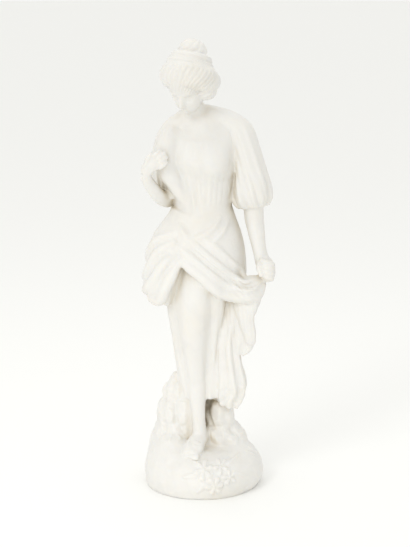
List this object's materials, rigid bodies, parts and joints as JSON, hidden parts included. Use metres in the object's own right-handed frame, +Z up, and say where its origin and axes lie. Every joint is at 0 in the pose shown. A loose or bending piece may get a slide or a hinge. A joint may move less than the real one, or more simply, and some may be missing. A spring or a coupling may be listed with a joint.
{
  "type": "marble statuette",
  "caption": "Carved white marble statuette of a young woman in draped dress, one hand at her breast, the other holding up her overskirt, on a round ground base.",
  "frame": {"origin": "middle of the flat underside of the base", "axes": "+Z up through the figure, -Y towards the viewer that the figure faces, +X to that viewer's right"},
  "size_m": [0.1492, 0.1275, 0.5],
  "materials": {
    "marble": "finely rubbed white marble, softly polished on skin and cloth, left matt and tooled on the rock"
  },
  "bodies": {
    "root": {"statue": "marble"}
  },
  "joints": []
}
